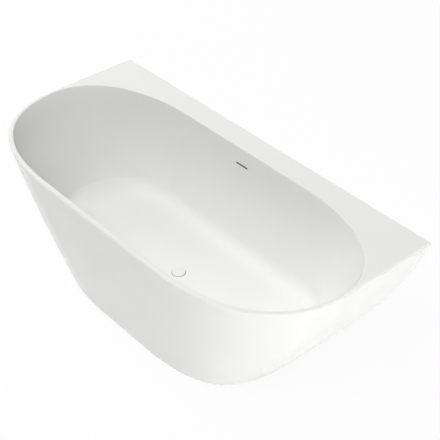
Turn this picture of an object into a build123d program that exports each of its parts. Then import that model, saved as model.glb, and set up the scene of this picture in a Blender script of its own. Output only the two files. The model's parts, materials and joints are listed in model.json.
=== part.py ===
from build123d import *
import os
from math import atan, cos, sin, sqrt, tan, pi

os.makedirs("parts", exist_ok=True)

# A back-to-wall freestanding bath. Millimetres, +Z up, origin on the floor under
# the middle of the rim's box. +X is along the length, +Y is towards the wall.

# ---------------------------------------------------------------- outer form
LENGTH = 1700.0
WIDTH = 800.0
HEIGHT = 580.0
SKIRT_GAP = 6.0             # the skirt hangs this far above the floor
END_LEAN = 0.372            # inward run per mm of depth at the rim
END_CURVE = 0.000316        # and its growth with depth squared
FRONT_LEAN = 0.130
FRONT_CURVE = 0.000055
RIM_TURN = -5.0             # Y where the straight end walls begin to curve, at the rim
TURN_SHIFT = 0.130          # it moves back towards the wall with depth
RIM_FLAT = 334.0            # half-length of the straight front, at the rim
FLAT_SHIFT = 0.360          # it shortens with depth
RIM_FULLNESS = 0.629        # Bezier handle over quarter length; 0.552 is an ellipse
FULLNESS_GROWTH = 0.00019
RIM_ROUND = 7.0             # rounding of the rim's outer edge
PAST_WALL = 20.0            # how far the lofts run on before the rear is cut flat
REAR_CORNER_ROUND = 8.0
FOOT_ROUND = 40.0           # rounding of the skirt's lower edge
SKIRT_WALL = 6.0
SKIRT_LIP = 60.0            # how far the turned-in lower lip reaches from the outline
SERVICE_HALF_WIDTH = 230.0  # opening in the rear wall for the pipes
SERVICE_HEIGHT = 330.0
SERVICE_ROUND = 25.0

# -------------------------------------------------------------------- basin
RIM_WIDTH_END = 14.0
RIM_WIDTH_FRONT = 20.0
DECK_WIDTH = 102.0          # flat deck along the wall
BASIN_DEPTH = 417.0
BASIN_END_LEAN = 0.50
BASIN_FRONT_LEAN = 0.19
BASIN_REAR_LEAN = 0.151
BASIN_END_ROUND = 160.0     # big sweep from the floor to the sloping backrests
BASIN_SIDE_ROUND = 65.0     # tight sweep from the floor to the long walls
BASIN_TURN_SHIFT = -0.072
BASIN_FRONT_FLAT_SHIFT = -0.21
BASIN_REAR_FLAT = 328.0
BASIN_REAR_FLAT_SHIFT = 0.17
BASIN_FRONT_FULLNESS = 0.63
BASIN_REAR_FULLNESS = 0.60
ACRYLIC = 5.0
LAMINATE = 3.0
LAMINATE_TOP = 540.0
DECK_SHEET = 6.0
RIM_LIP = 12.0              # depth of the rim's turned-down edge
OPENING_ROUND = 4.0
ABOVE_RIM = 10.0            # the basin form runs on past the rim, for clean cuts

# ---------------------------------------------------- baseboard and frame
BOARD_LENGTH = 880.0
BOARD_WIDTH = 430.0
BOARD_THICKNESS = 18.0
BOARD_ROUND = 60.0
BOARD_Y = -35.0
BOARD_HOLE_RADIUS = 45.0    # clears the waste and its seal
BOARD_COVER = 4.0           # board left above the screws
TUBE = 25.0
TUBE_WALL = 2.0
CROSS_X = 330.0
CROSS_FRONT_Y = -195.0
CROSS_REAR_Y = 320.0
RAIL_Y = 110.0
SCREW_X = 240.0
SCREW_RADIUS = 3.0
SCREW_HEAD = 4.0
SCREW_CORNERS = 11.5        # hexagon head, across its corners
SCREW_CLEARANCE = 0.3
BRACKET = 3.0               # sheet thickness of the ties between frame and skirt
BRACKET_WIDTH = 30.0
BRACKET_TOP_LENGTH = 32.0
BRACKET_FOOT_LENGTH = 42.0
BRACKET_SCREW_AT = 0.65     # how far out along the foot its screw stands
BRACKET_SCREW_RADIUS = 2.5
BRACKET_SCREW_HEAD = 3.5
BRACKET_SCREW_CORNERS = 9.2

# ---------------------------------------------------------------------- feet
MIDDLE_FOOT = (190.0, -20.0)
FOOT_FRONT_Y = -145.0
FOOT_REAR_Y = 272.0
STUD_RADIUS = 6.0           # M12, over the crests of its thread
STUD_TOP_Z = 125.0
STUD_CLEARANCE = 0.5
PAD_RADIUS = 25.0
PAD_SIDES = 16
PAD_THICKNESS = 6.0
PAD_NECK_RADIUS = 13.0      # hexagon, over its corners
PAD_HEIGHT = 15.0
PAD_SOCKET_Z = 5.0
NUT_ACROSS_FLATS = 19.0
WELD_NUT = 10.0
LOCK_NUT = 6.0
RUNNING_GAP = 0.05          # radial, between a moving shaft and its hole

# --------------------------------------------------------------------- waste
WASTE_Y = -38.0
RECESS_RADIUS = 28.0        # the rebate in the floor that the cap sits in
RECESS_DEPTH = 2.5
RECESS_CHAMFER = 0.6
WASTE_HOLE_RADIUS = 22.5
LAMINATE_HOLE_RADIUS = 34.5
SEAL = 0.5
SEAL_RADIUS = 27.8          # a little wider than the flange that presses on it
FLANGE_RADIUS = 25.5
FLANGE_SHEET = 1.0
THROAT_RADIUS = 21.0
THROAT_BORE = 18.0
THROAT_BOTTOM = 116.0
BAR_LOW = 118.0             # the cross bar that holds the plug's cartridge
BAR_HIGH = 124.0
BAR_WIDTH = 6.0
HUB_RADIUS = 8.0
BODY_SEAL = 3.0
BODY_FLANGE_RADIUS = 33.0
BODY_FLANGE = 4.0
BODY_RADIUS = 29.0
BODY_WALL = 4.0
BODY_BOTTOM = 80.0
BODY_SHOULDER = 5.0
OUTLET_RADIUS = 23.9        # 1 1/2 inch pipe thread, over its crests
OUTLET_BORE = 20.0
OUTLET_LENGTH = 20.0

# ---------------------------------------------------------------------- plug
CAP_RADIUS = 26.25
CAP_SEAL = 0.8
CAP_STANDS = 1.6            # the cap's edge above the basin floor
CAP_CROWN = 1.2
CAP_CHAMFER = 0.8
CAP_SEAL_OUTER = 24.0
CAP_SEAL_INNER = 19.0
BARREL_RADIUS = 6.0
BARREL_BORE = 4.05
BARREL_TOP = 152.0
BARREL_TAIL = 3.0           # below the cross bar
TAIL_RADIUS = 3.9
STEM_BOTTOM = 138.0
SPRING_LOW = 130.0
SPRING_COIL = 3.2           # radius of the coil
SPRING_WIRE = 1.0
SPRING_TURNS = 3

# ------------------------------------------------------------------ overflow
SLOT_DEPTH = 67.0           # below the rim
SLOT_LENGTH = 64.0
SLOT_HEIGHT = 6.0
SLOT_WINDOW = 12.0          # how much longer the gap in the backing is
BOX_LENGTH = 104.0
BOX_HEIGHT = 46.0
BOX_WALL = 3.0
BOX_RIM = 6.0               # width of the housing's edge that presses on the gasket
BOX_FAR = 47.0              # its back, from the basin's inner face
BOX_SEAL = 3.0
SPIGOT_RADIUS = 11.0
SPIGOT_BORE = 8.5
SPIGOT_GRIP = 34.0          # length of spigot inside the hose
HOSE_RADIUS = 13.5
HOSE_BORE = 11.2
HOSE_TOP_Z = 478.0
HOSE_DROP_Y = 314.0
HOSE_TURN = 0.45            # bend radius over the shorter leg
OVERFLOW_INLET_Z = 95.0
INLET_LENGTH = 62.0
HOSE_END_Y = WASTE_Y + 36.0
HOSE_NUT_ACROSS = 34.0
HOSE_NUT_LENGTH = 24.0
HOSE_NUT_SET_BACK = 4.0

FLOOR_Z = HEIGHT - BASIN_DEPTH
BOARD_TOP = FLOOR_Z - ACRYLIC - LAMINATE
BOARD_BOTTOM = BOARD_TOP - BOARD_THICKNESS
TUBE_Z = BOARD_BOTTOM - TUBE / 2
FRAME_BOTTOM = BOARD_BOTTOM - TUBE
LIP_TOP = SKIRT_GAP + SKIRT_WALL
SEAT_Z = FLOOR_Z - RECESS_DEPTH + SEAL + FLANGE_SHEET
BODY_TOP = FLOOR_Z - ACRYLIC - BODY_SEAL
CAP_LOW = SEAT_Z + CAP_SEAL
BOX_NEAR = ACRYLIC + LAMINATE + BOX_SEAL
FEET = [(-CROSS_X, FOOT_FRONT_Y), (CROSS_X, FOOT_FRONT_Y), (-CROSS_X, FOOT_REAR_Y),
        (CROSS_X, FOOT_REAR_Y), MIDDLE_FOOT]


def ring(outer, inner, low, high, x=0.0, y=0.0):
    """A plain tube or washer standing on Z."""
    middle = (low + high) / 2
    return Pos(x, y, middle) * (Cylinder(outer, high - low) - Cylinder(inner, high - low))


def rod(radius, low, high, x=0.0, y=0.0):
    return Pos(x, y, (low + high) / 2) * Cylinder(radius, high - low)


def slab(low, high):
    """Everything between two heights, for cutting a form across."""
    return Pos(0, 0, (low + high) / 2) * Box(2 * LENGTH, 2 * WIDTH, high - low)


# ------------------------------------------------------------ the outer form
def rounding_loss(radius, lean):
    """How far a rounded top edge stands back from the sharp corner of a leaning wall."""
    angle = atan(lean)
    return radius * ((1 + sin(angle)) / cos(angle) - 1)


def quarter(end, turn, flat, side, fullness, z, mirror):
    """One corner of a plan outline, from (end, turn) to (flat, side), as a Bezier."""
    points = [(end, turn), (end, turn + fullness * (side - turn)),
              (flat + fullness * (end - flat), side), (flat, side)]
    return Bezier(*[(mirror * x, y, z) for x, y in points])


def skin_outline(depth, grow):
    """The D-shaped outline of the outer form at one depth, grown or shrunk sideways.

    Its straight ends run on past the wall, where the form is then cut flat.
    """
    end = LENGTH / 2 + rounding_loss(RIM_ROUND, END_LEAN) - END_LEAN * depth - END_CURVE * depth**2
    end += grow * sqrt(1 + END_LEAN**2)
    front = -WIDTH / 2 - rounding_loss(RIM_ROUND, FRONT_LEAN) + FRONT_LEAN * depth + FRONT_CURVE * depth**2
    front -= grow
    rear = WIDTH / 2 + PAST_WALL
    turn = RIM_TURN + TURN_SHIFT * depth
    flat = RIM_FLAT - FLAT_SHIFT * depth
    fullness = RIM_FULLNESS + FULLNESS_GROWTH * depth
    z = HEIGHT - depth
    return Wire([
        Line((-end, rear, z), (-end, turn, z)),
        quarter(end, turn, flat, front, fullness, z, -1),
        Line((-flat, front, z), (flat, front, z)),
        quarter(end, turn, flat, front, fullness, z, 1),
        Line((end, turn, z), (end, rear, z)),
        Line((end, rear, z), (-end, rear, z)),
    ])


def skin_form(grow, foot_round):
    """The solid D-shaped body from the rim to the skirt's foot, its lower edge rounded."""
    deepest = HEIGHT - SKIRT_GAP + grow
    form = Solid.make_loft([skin_outline(deepest * step / 4, grow) for step in range(5)])
    rear = WIDTH / 2 + grow
    form -= Pos(0, rear + PAST_WALL, HEIGHT / 2) * Box(2 * LENGTH, 2 * PAST_WALL, 2 * HEIGHT)
    underside = form.faces().sort_by(Axis.Z)[0]
    return form.fillet(foot_round, [e for e in underside.edges() if e.center().Y < rear - 1])


def outer_form():
    form = skin_form(0.0, FOOT_ROUND)
    corners = [e for e in form.edges()
               if abs(e.center().Y - WIDTH / 2) < 1 and e.bounding_box().size.Z > HEIGHT / 2]
    form = form.fillet(REAR_CORNER_ROUND, corners)
    top = form.faces().sort_by(Axis.Z)[-1]
    return form.fillet(RIM_ROUND, top.edges())


# ------------------------------------------------------------ the basin form
def wall_reach(reach, lean, radius, floor, depth):
    """Distance of a leaning wall from the middle at one depth, with its sweep into the floor."""
    angle = atan(lean)
    tangent = radius * tan((pi / 2 - angle) / 2)
    if depth <= floor - tangent * cos(angle):
        return reach - lean * depth
    middle = reach - lean * floor - tangent
    return middle + sqrt(max(0.0, radius**2 - (depth - floor + radius)**2))


def basin_outline(depth, grow):
    """The outline of the basin at one depth; growing it keeps every sweep concentric."""
    floor = BASIN_DEPTH + grow

    def reach(at_rim, lean, radius):
        return wall_reach(at_rim + grow * sqrt(1 + lean**2), lean, radius + grow, floor, depth)

    end = reach(LENGTH / 2 - RIM_WIDTH_END, BASIN_END_LEAN, BASIN_END_ROUND)
    front = -reach(WIDTH / 2 - RIM_WIDTH_FRONT, BASIN_FRONT_LEAN, BASIN_SIDE_ROUND)
    rear = reach(WIDTH / 2 - DECK_WIDTH, BASIN_REAR_LEAN, BASIN_SIDE_ROUND)
    turn = RIM_TURN + BASIN_TURN_SHIFT * depth
    front_flat = RIM_FLAT + BASIN_FRONT_FLAT_SHIFT * depth
    rear_flat = BASIN_REAR_FLAT + BASIN_REAR_FLAT_SHIFT * depth
    z = HEIGHT - depth
    return Wire([
        quarter(end, turn, rear_flat, rear, BASIN_REAR_FULLNESS, z, -1),
        quarter(end, turn, front_flat, front, BASIN_FRONT_FULLNESS, z, -1),
        Line((-front_flat, front, z), (front_flat, front, z)),
        quarter(end, turn, front_flat, front, BASIN_FRONT_FULLNESS, z, 1),
        quarter(end, turn, rear_flat, rear, BASIN_REAR_FULLNESS, z, 1),
        Line((rear_flat, rear, z), (-rear_flat, rear, z)),
    ])


def basin_form(grow):
    """The hollow of the basin as a solid, or the outside of its wall when grown.

    The walls are one loft and their tight sweep into the floor another, each with evenly
    spaced sections, which keeps the lofts from bulging between them.
    """
    radius = BASIN_SIDE_ROUND + grow
    start = atan(max(BASIN_FRONT_LEAN, BASIN_REAR_LEAN))

    def sweep_depth(angle):
        return BASIN_DEPTH + grow - radius * (1 - sin(angle))

    walls = [-ABOVE_RIM + (sweep_depth(start) + ABOVE_RIM) * step / 5 for step in range(6)]
    sweeps = [sweep_depth(start + (pi / 2 - start) * step / 6) for step in range(7)]
    upper = Solid.make_loft([basin_outline(depth, grow) for depth in walls])
    lower = Solid.make_loft([basin_outline(depth, grow) for depth in sweeps])
    return Part(upper.wrapped) + Part(lower.wrapped)


def slot_plane():
    """Plane on the basin's rear wall at the overflow, with Z out through the wall."""
    y = WIDTH / 2 - DECK_WIDTH - BASIN_REAR_LEAN * SLOT_DEPTH
    return Plane(origin=(0, y, HEIGHT - SLOT_DEPTH), x_dir=(1, 0, 0), z_dir=(0, 1, -BASIN_REAR_LEAN))


def slot_block(length, height, near, far):
    """A round-ended block through the wall at the overflow, between two distances from its face."""
    return extrude(slot_plane().offset(near) * SlotOverall(length, height), far - near)


# ---------------------------------------------------------- skins and backing
def make_basin_shell(outside):
    rim = outside & slab(HEIGHT - RIM_LIP, HEIGHT)
    inside = skin_form(-SKIRT_WALL, FOOT_ROUND - SKIRT_WALL)
    under_deck = inside & slab(HEIGHT - 2 * RIM_LIP, HEIGHT - DECK_SHEET)
    wall = basin_form(ACRYLIC) & slab(0, HEIGHT)
    shell = (rim - under_deck) + wall - basin_form(0.0)
    deck = shell.faces().sort_by(Axis.Z)[-1]
    shell = fillet(deck.inner_wires()[0].edges(), OPENING_ROUND)
    shell -= rod(RECESS_RADIUS, FLOOR_Z - RECESS_DEPTH, FLOOR_Z + 1, 0, WASTE_Y)
    mouth = [e for e in shell.edges().filter_by(GeomType.CIRCLE)
             if abs(e.radius - RECESS_RADIUS) < 0.01 and abs(e.center().Z - FLOOR_Z) < 0.01]
    shell = chamfer(mouth, RECESS_CHAMFER)
    shell -= rod(WASTE_HOLE_RADIUS, 0, FLOOR_Z, 0, WASTE_Y)
    return shell - slot_block(SLOT_LENGTH, SLOT_HEIGHT, -ACRYLIC, 2 * ACRYLIC)


def make_laminate():
    skin = (basin_form(ACRYLIC + LAMINATE) - basin_form(ACRYLIC)) & slab(0, LAMINATE_TOP)
    skin -= rod(LAMINATE_HOLE_RADIUS, 0, FLOOR_Z, 0, WASTE_Y)
    return skin - slot_block(SLOT_LENGTH + SLOT_WINDOW, SLOT_HEIGHT + SLOT_WINDOW, 0, ACRYLIC + 2 * LAMINATE)


def make_skirt(outside):
    inside = skin_form(-SKIRT_WALL, FOOT_ROUND - SKIRT_WALL)
    skirt = (outside & slab(0, HEIGHT - RIM_LIP)) - inside
    foot_hole = extrude(make_face(skin_outline(HEIGHT - SKIRT_GAP, -SKIRT_LIP)), 2 * SKIRT_WALL)
    foot_hole &= Pos(0, -SKIRT_LIP, 0) * Box(2 * LENGTH, WIDTH, HEIGHT)
    service = Pos(0, WIDTH / 2, 0) * extrude(
        Plane.XZ * RectangleRounded(2 * SERVICE_HALF_WIDTH, 2 * SERVICE_HEIGHT, SERVICE_ROUND),
        SKIRT_LIP + 1, both=True)
    skirt = skirt - foot_hole - service
    for x, y, way in bracket_places():
        skirt -= rod(BRACKET_SCREW_RADIUS, 0, LIP_TOP + 1, x, bracket_screw_y(y, way))
    return skirt


def make_baseboard():
    outline = Pos(0, BOARD_Y) * RectangleRounded(BOARD_LENGTH, BOARD_WIDTH, BOARD_ROUND)
    board = Pos(0, 0, BOARD_BOTTOM) * extrude(outline, BOARD_THICKNESS)
    board -= rod(BOARD_HOLE_RADIUS, 0, BOARD_TOP + 1, 0, WASTE_Y)
    for x, y in screw_places():
        board -= rod(SCREW_RADIUS, BOARD_BOTTOM - 1, BOARD_TOP - BOARD_COVER, x, y)
    return board


# ----------------------------------------------------------------- the frame
def tube_along_x(x_low, x_high, y):
    length = x_high - x_low
    return Pos((x_low + x_high) / 2, y, TUBE_Z) * (
        Box(length, TUBE, TUBE) - Box(length, TUBE - 2 * TUBE_WALL, TUBE - 2 * TUBE_WALL))


def tube_along_y(x, y_low, y_high):
    length = y_high - y_low
    return Pos(x, (y_low + y_high) / 2, TUBE_Z) * (
        Box(TUBE, length, TUBE) - Box(TUBE - 2 * TUBE_WALL, length, TUBE - 2 * TUBE_WALL))


def screw_places():
    """Where the frame is screwed up into the baseboard."""
    on_rails = [(x, y) for x in (-SCREW_X, SCREW_X) for y in (-RAIL_Y, RAIL_Y)]
    return on_rails + [(-CROSS_X, 0), (CROSS_X, 0)]


def drilled(tube):
    """A frame tube with clearance holes for its screws and studs."""
    for x, y in screw_places():
        tube -= rod(SCREW_RADIUS + SCREW_CLEARANCE, FRAME_BOTTOM - 1, BOARD_BOTTOM + 1, x, y)
    for x, y in FEET:
        tube -= rod(STUD_RADIUS + STUD_CLEARANCE, FRAME_BOTTOM - 1, TUBE_Z, x, y)
    return tube


def make_frame():
    inner = CROSS_X - TUBE / 2
    middle_x = MIDDLE_FOOT[0]
    return {
        "frame_rail_front": drilled(tube_along_x(-inner, inner, -RAIL_Y)),
        "frame_rail_rear": drilled(tube_along_x(-inner, inner, RAIL_Y)),
        "frame_cross_left": drilled(tube_along_y(-CROSS_X, CROSS_FRONT_Y, CROSS_REAR_Y)),
        "frame_cross_right": drilled(tube_along_y(CROSS_X, CROSS_FRONT_Y, CROSS_REAR_Y)),
        "frame_cross_middle": drilled(tube_along_y(middle_x, -RAIL_Y + TUBE / 2, RAIL_Y - TUBE / 2)),
    }


def make_screw(shank, length, head, corners):
    """A hexagon-head screw pointing up, with the underside of its head at Z = 0."""
    return rod(shank, 0, length) + Pos(0, 0, -head) * extrude(RegularPolygon(corners / 2, 6), head)


def make_baseboard_screws():
    length = BOARD_TOP - BOARD_COVER - FRAME_BOTTOM
    screw = make_screw(SCREW_RADIUS, length, SCREW_HEAD, SCREW_CORNERS)
    return [Pos(x, y, FRAME_BOTTOM) * screw for x, y in screw_places()]


def bracket_places():
    """X, the end of the cross tube, and which way the bracket steps out from it."""
    return [(x, y, way) for x in (-CROSS_X, CROSS_X)
            for y, way in ((CROSS_FRONT_Y, -1), (CROSS_REAR_Y, 1))]


def bracket_screw_y(y, way):
    return y + way * BRACKET_FOOT_LENGTH * BRACKET_SCREW_AT


def make_bracket(x, y, way):
    """Folded strip: welded under the tube's end, down, and out over the skirt's lip."""
    under_tube = FRAME_BOTTOM - BRACKET / 2
    on_lip = LIP_TOP + BRACKET / 2
    fold = y + way * BRACKET / 2
    middle = FilletPolyline((y - way * BRACKET_TOP_LENGTH, under_tube), (fold, under_tube), (fold, on_lip),
                            (y + way * BRACKET_FOOT_LENGTH, on_lip), radius=BRACKET * 1.5)
    strip = Pos(x, 0, 0) * extrude(Plane.YZ * trace(middle, BRACKET), BRACKET_WIDTH / 2, both=True)
    hole = BRACKET_SCREW_RADIUS + SCREW_CLEARANCE
    return strip - rod(hole, 0, on_lip + BRACKET, x, bracket_screw_y(y, way))


def make_bracket_screws():
    length = BRACKET + SKIRT_WALL - 1
    screw = make_screw(BRACKET_SCREW_RADIUS, length, BRACKET_SCREW_HEAD, BRACKET_SCREW_CORNERS)
    screw = Rot(180, 0, 0) * screw
    return [Pos(x, bracket_screw_y(y, way), LIP_TOP + BRACKET) * screw for x, y, way in bracket_places()]


def make_pads_and_studs():
    pieces = {}
    for number, (x, y) in enumerate(FEET, 1):
        pieces[f"foot_pad_{number}"] = Pos(x, y) * make_pad()
        pieces[f"foot_stud_{number}"] = Pos(x, y) * make_stud()
    return pieces


def make_pad():
    """Moulded pad with a hexagonal neck that holds the stud's lower end."""
    pad = extrude(RegularPolygon(PAD_RADIUS, PAD_SIDES), PAD_THICKNESS)
    pad += extrude(RegularPolygon(PAD_NECK_RADIUS, 6), PAD_HEIGHT)
    return pad - rod(STUD_RADIUS, PAD_SOCKET_Z, PAD_HEIGHT + 1)


def make_stud():
    return rod(STUD_RADIUS, PAD_SOCKET_Z, STUD_TOP_Z)


def make_nuts(low, high):
    nut = Pos(0, 0, low) * extrude(RegularPolygon(NUT_ACROSS_FLATS / 2, 6, major_radius=False), high - low)
    nut -= rod(STUD_RADIUS + RUNNING_GAP, low - 1, high + 1)
    return [Pos(x, y) * nut for x, y in FEET]


# ------------------------------------------------------------ waste and plug
def at_waste(shape):
    return Pos(0, WASTE_Y, 0) * shape


def make_washer(radius, low, thickness):
    return at_waste(ring(radius, WASTE_HOLE_RADIUS, low, low + thickness))


def make_waste_flange():
    """Flanged throat with a cross bar and hub that carry the plug's cartridge."""
    flange = ring(FLANGE_RADIUS, THROAT_BORE, SEAT_Z - FLANGE_SHEET, SEAT_Z)
    throat = ring(THROAT_RADIUS, THROAT_BORE, THROAT_BOTTOM, SEAT_Z)
    bar = Pos(0, 0, (BAR_LOW + BAR_HIGH) / 2) * Box(2 * THROAT_BORE + 2, BAR_WIDTH, BAR_HIGH - BAR_LOW)
    hub = rod(HUB_RADIUS, BAR_LOW, BAR_HIGH)
    tail_hole = rod(TAIL_RADIUS + RUNNING_GAP, BAR_LOW - 1, BAR_HIGH + 1)
    return at_waste(flange + throat + bar + hub - tail_hole)


def make_waste_body():
    """Turned bowl with a clamping flange, an overflow inlet and a threaded outlet."""
    throat = THROAT_RADIUS + 2 * RUNNING_GAP
    outlet_end = BODY_BOTTOM - OUTLET_LENGTH
    profile = Polyline(
        (throat, BODY_TOP), (BODY_FLANGE_RADIUS, BODY_TOP),
        (BODY_FLANGE_RADIUS, BODY_TOP - BODY_FLANGE), (BODY_RADIUS, BODY_TOP - 2 * BODY_FLANGE),
        (BODY_RADIUS, BODY_BOTTOM + BODY_SHOULDER), (OUTLET_RADIUS, BODY_BOTTOM),
        (OUTLET_RADIUS, outlet_end), (OUTLET_BORE, outlet_end),
        (OUTLET_BORE, BODY_BOTTOM + BODY_WALL), (BODY_RADIUS - BODY_WALL, BODY_BOTTOM + 2 * BODY_SHOULDER),
        (BODY_RADIUS - BODY_WALL, THROAT_BOTTOM - 2 * BODY_WALL), (throat, THROAT_BOTTOM - BODY_WALL),
        close=True)
    bowl = revolve(Plane.XZ * make_face(profile), Axis.Z)
    at_inlet = Pos(0, INLET_LENGTH / 2, OVERFLOW_INLET_Z) * Rot(90, 0, 0)
    inlet = at_inlet * Cylinder(SPIGOT_RADIUS, INLET_LENGTH)
    inlet -= rod(BODY_RADIUS - BODY_WALL / 2, BODY_BOTTOM, BODY_TOP)
    return at_waste(bowl + inlet - at_inlet * Cylinder(SPIGOT_BORE, INLET_LENGTH + 1))


def make_plug():
    """The press-to-close plug: what is fixed, and what moves up and down."""
    barrel = rod(BARREL_RADIUS, BAR_HIGH, BARREL_TOP) - rod(BARREL_BORE, SPRING_LOW, BARREL_TOP + 1)
    tail = rod(TAIL_RADIUS, BAR_LOW - BARREL_TAIL, BAR_HIGH)
    stem = rod(BARREL_BORE - RUNNING_GAP, STEM_BOTTOM, CAP_LOW)
    edge_top = FLOOR_Z + CAP_STANDS
    crown = (0, edge_top + CAP_CROWN)
    halfway = (CAP_RADIUS / 2, edge_top + CAP_CROWN * 0.75)
    shoulder = (CAP_RADIUS - CAP_CHAMFER, edge_top)
    rim = (CAP_RADIUS, edge_top - CAP_CHAMFER)
    sides = Polyline(shoulder, rim, (CAP_RADIUS, CAP_LOW), (0, CAP_LOW), crown)
    profile = Wire([*sides.edges(), ThreePointArc(crown, halfway, shoulder)])
    cap = revolve(Plane.XZ * make_face(profile), Axis.Z)
    return {
        "plug_cartridge": at_waste(barrel + tail),
        "plug_spring": at_waste(make_spring()),
        "plug_stem": at_waste(stem),
        "plug_seal": at_waste(ring(CAP_SEAL_OUTER, CAP_SEAL_INNER, SEAT_Z, CAP_LOW)),
        "waste_cap": at_waste(cap),
    }


def make_spring():
    """Coil between the bottom of the cartridge's bore and the end of the stem."""
    height = STEM_BOTTOM - SPRING_LOW - SPRING_WIRE
    path = Helix(height / SPRING_TURNS, height, SPRING_COIL).moved(Pos(0, 0, SPRING_LOW + SPRING_WIRE / 2))
    section = Plane(origin=path @ 0, z_dir=path % 0) * Rectangle(SPRING_WIRE, SPRING_WIRE)
    return sweep(section, path, is_frenet=True)


# ------------------------------------------------------------------- overflow
def make_overflow(backing):
    """Housing behind the slot with its gasket, and the spigot that feeds the hose."""
    cavity_length = BOX_LENGTH - 2 * BOX_RIM
    cavity_height = BOX_HEIGHT - 2 * BOX_RIM
    spigot_top = HEIGHT - SLOT_DEPTH - BOX_HEIGHT / 2 + BOX_RIM
    spigot_end = HOSE_TOP_Z - SPIGOT_GRIP
    housing = slot_block(BOX_LENGTH, BOX_HEIGHT, BOX_NEAR, BOX_FAR)
    housing += rod(SPIGOT_RADIUS, spigot_end, spigot_top, 0, HOSE_DROP_Y)
    housing -= slot_block(cavity_length, cavity_height, BOX_NEAR - 1, BOX_FAR - BOX_WALL)
    housing -= rod(SPIGOT_BORE, spigot_end - 1, HEIGHT - SLOT_DEPTH, 0, HOSE_DROP_Y)
    seal = slot_block(BOX_LENGTH, BOX_HEIGHT, BOX_NEAR - BOX_SEAL - 1, BOX_NEAR)
    seal -= slot_block(cavity_length, cavity_height, 0, BOX_NEAR + 1)
    return housing, seal - backing


def hose_route():
    """Down behind the basin, then forwards under the rear rail to the waste."""
    corner = (0, HOSE_DROP_Y, OVERFLOW_INLET_Z)
    start = (0, HOSE_DROP_Y, HOSE_TOP_Z)
    end = (0, HOSE_END_Y, OVERFLOW_INLET_Z)
    shorter = min(HOSE_TOP_Z - OVERFLOW_INLET_Z, HOSE_DROP_Y - HOSE_END_Y)
    radius = HOSE_TURN * shorter / tan(pi / 4)
    return FilletPolyline(start, corner, end, radius=radius), radius


def make_hose():
    route, radius = hose_route()
    section = Plane(origin=route @ 0, z_dir=route % 0) * (Circle(HOSE_RADIUS) - Circle(HOSE_BORE))
    hose = sweep(section, route)
    print("hose length", round(route.length), "bend radius", round(radius, 1),
          "volume over section times length", round(hose.volume / (section.area * route.length), 4))
    return hose


def make_hose_nuts():
    nut = extrude(RegularPolygon(HOSE_NUT_ACROSS / 2, 8, major_radius=False), HOSE_NUT_LENGTH)
    nut -= rod(HOSE_RADIUS + 3 * RUNNING_GAP, -1, HOSE_NUT_LENGTH + 1)
    top = Pos(0, HOSE_DROP_Y, HOSE_TOP_Z - HOSE_NUT_LENGTH - HOSE_NUT_SET_BACK) * nut
    low = Pos(0, HOSE_END_Y + HOSE_NUT_SET_BACK, OVERFLOW_INLET_Z) * Rot(-90, 0, 0) * nut
    return [top, low]


# --------------------------------------------------------------------- export
outside = outer_form()
laminate = make_laminate()
overflow_box, overflow_seal = make_overflow(laminate)
pieces = {
    "basin_shell": make_basin_shell(outside),
    "basin_laminate": laminate,
    "outer_skirt": make_skirt(outside),
    "baseboard": make_baseboard(),
    **make_frame(),
    "baseboard_screws": make_baseboard_screws(),
    "skirt_brackets": [make_bracket(*place) for place in bracket_places()],
    "bracket_screws": make_bracket_screws(),
    "weld_nuts": make_nuts(FRAME_BOTTOM - WELD_NUT, FRAME_BOTTOM),
    "lock_nuts": make_nuts(FRAME_BOTTOM - WELD_NUT - LOCK_NUT, FRAME_BOTTOM - WELD_NUT),
    **make_pads_and_studs(),
    "waste_flange": make_waste_flange(),
    "waste_seal_upper": make_washer(SEAL_RADIUS, SEAT_Z - FLANGE_SHEET - SEAL, SEAL),
    "waste_seal_lower": make_washer(BODY_FLANGE_RADIUS, BODY_TOP, BODY_SEAL),
    "waste_body": make_waste_body(),
    **make_plug(),
    "overflow_box": overflow_box,
    "overflow_seal": overflow_seal,
    "overflow_hose": make_hose(),
    "hose_nuts": make_hose_nuts(),
}
for name, piece in pieces.items():
    solids = Compound(children=list(piece)) if isinstance(piece, list) else piece
    export_step(solids, f"parts/{name}.step")
print(len(pieces), "nodes")
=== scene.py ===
# %% [markdown]
# # A back-to-wall freestanding bath
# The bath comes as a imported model, which holds every solid piece at its real size. This
# lesson dresses it: it gives each piece the finish of the real thing, swaps some plain solids
# for pieces with threads, ribs and rounded edges, and sets up a pale studio and a camera.
# Everything is in metres, with the origin on the floor under the middle of the bath, +X along
# its length and +Y towards the wall.

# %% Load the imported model
import json
import math

import bpy
from mathutils import Matrix, Vector


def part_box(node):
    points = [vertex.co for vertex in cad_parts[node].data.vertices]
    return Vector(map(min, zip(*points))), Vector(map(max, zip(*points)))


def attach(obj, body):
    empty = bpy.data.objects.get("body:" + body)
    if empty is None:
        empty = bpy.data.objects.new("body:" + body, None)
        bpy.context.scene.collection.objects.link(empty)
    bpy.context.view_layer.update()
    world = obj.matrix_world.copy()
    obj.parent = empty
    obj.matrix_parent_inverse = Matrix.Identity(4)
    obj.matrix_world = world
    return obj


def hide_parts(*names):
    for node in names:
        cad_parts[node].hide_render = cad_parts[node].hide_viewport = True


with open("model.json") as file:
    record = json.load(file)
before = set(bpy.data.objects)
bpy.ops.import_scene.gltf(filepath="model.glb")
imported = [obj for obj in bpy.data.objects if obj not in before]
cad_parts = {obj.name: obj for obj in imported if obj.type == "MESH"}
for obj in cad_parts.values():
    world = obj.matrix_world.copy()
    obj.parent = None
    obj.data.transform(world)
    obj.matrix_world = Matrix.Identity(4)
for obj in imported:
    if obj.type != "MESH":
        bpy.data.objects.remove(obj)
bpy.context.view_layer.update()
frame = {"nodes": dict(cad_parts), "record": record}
nodes = frame["nodes"]
MM = 0.001
print(len(nodes), "pieces in the packed model")

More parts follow.
